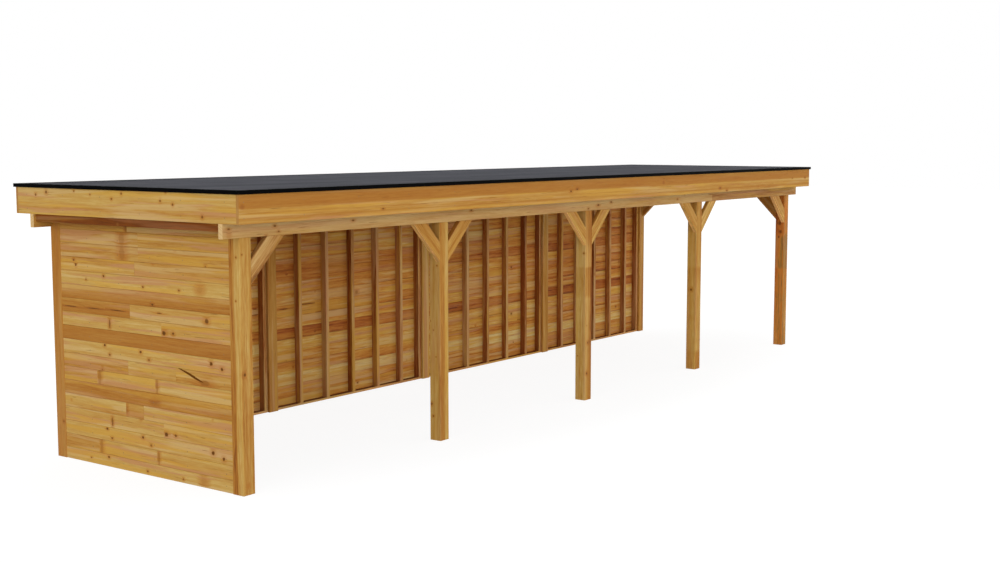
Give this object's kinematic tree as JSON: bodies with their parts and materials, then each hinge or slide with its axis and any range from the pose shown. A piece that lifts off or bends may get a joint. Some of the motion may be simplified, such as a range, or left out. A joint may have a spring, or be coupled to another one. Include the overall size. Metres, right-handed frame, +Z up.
{
  "type": "freestanding timber veranda",
  "caption": "Long flat-roofed timber veranda on square posts with knee braces, boarded at the back and one end and open at the front and the other end.",
  "frame": {"origin": "centre of the plan, on the ground under the posts", "axes": "+X along the veranda towards its open end, +Y towards the boarded back, +Z up"},
  "size_m": [10.03, 2.72, 2.33],
  "materials": {
    "post_timber": "planed softwood, honey coloured, clear stain",
    "beam_timber": "planed softwood, clear stain",
    "brace_timber": "planed softwood, clear stain",
    "joist_timber": "planed softwood, clear stain",
    "roof_board_timber": "planed softwood boards",
    "fascia_timber": "planed softwood, honey coloured, clear stain",
    "wall_boards": "planed tongued boards with knots, clear stain",
    "wall_frame": "planed softwood, reddish brown stain",
    "roof_sheet": "matt dark grey roofing sheet with faint lap seams",
    "edge_trim": "black, satin"
  },
  "bodies": {
    "root": {"front_post_1": "post_timber", "front_post_2": "post_timber", "front_post_3": "post_timber", "front_post_4": "post_timber", "front_post_5": "post_timber", "rear_post_1": "post_timber", "rear_post_2": "post_timber", "rear_post_3": "post_timber", "rear_post_4": "post_timber", "rear_post_5": "post_timber", "front_beam_long": "beam_timber", "front_beam_short": "beam_timber", "rear_beam_long": "beam_timber", "rear_beam_short": "beam_timber", "left_end_tie": "beam_timber", "left_wall_tie": "beam_timber", "right_brace_tie": "beam_timber", "right_end_tie": "beam_timber", "braces_1": "brace_timber", "braces_2": "brace_timber", "braces_3": "brace_timber", "braces_4": "brace_timber", "braces_5": "brace_timber", "end_braces": "brace_timber", "roof_joists": "joist_timber", "roof_boards": "roof_board_timber", "roof_sheet": "roof_sheet", "front_fascia": "fascia_timber", "rear_fascia": "fascia_timber", "left_fascia": "fascia_timber", "right_fascia": "fascia_timber", "front_trim": "edge_trim", "rear_trim": "edge_trim", "left_trim": "edge_trim", "right_trim": "edge_trim", "left_wall_boards": "wall_boards", "left_wall_plates": "wall_frame", "left_wall_studs": "wall_frame", "rear_wall_boards_1": "wall_boards", "rear_wall_boards_2": "wall_boards", "rear_wall_boards_3": "wall_boards", "rear_wall_boards_4": "wall_boards", "rear_wall_plates": "wall_frame", "rear_wall_studs": "wall_frame"}
  },
  "joints": []
}
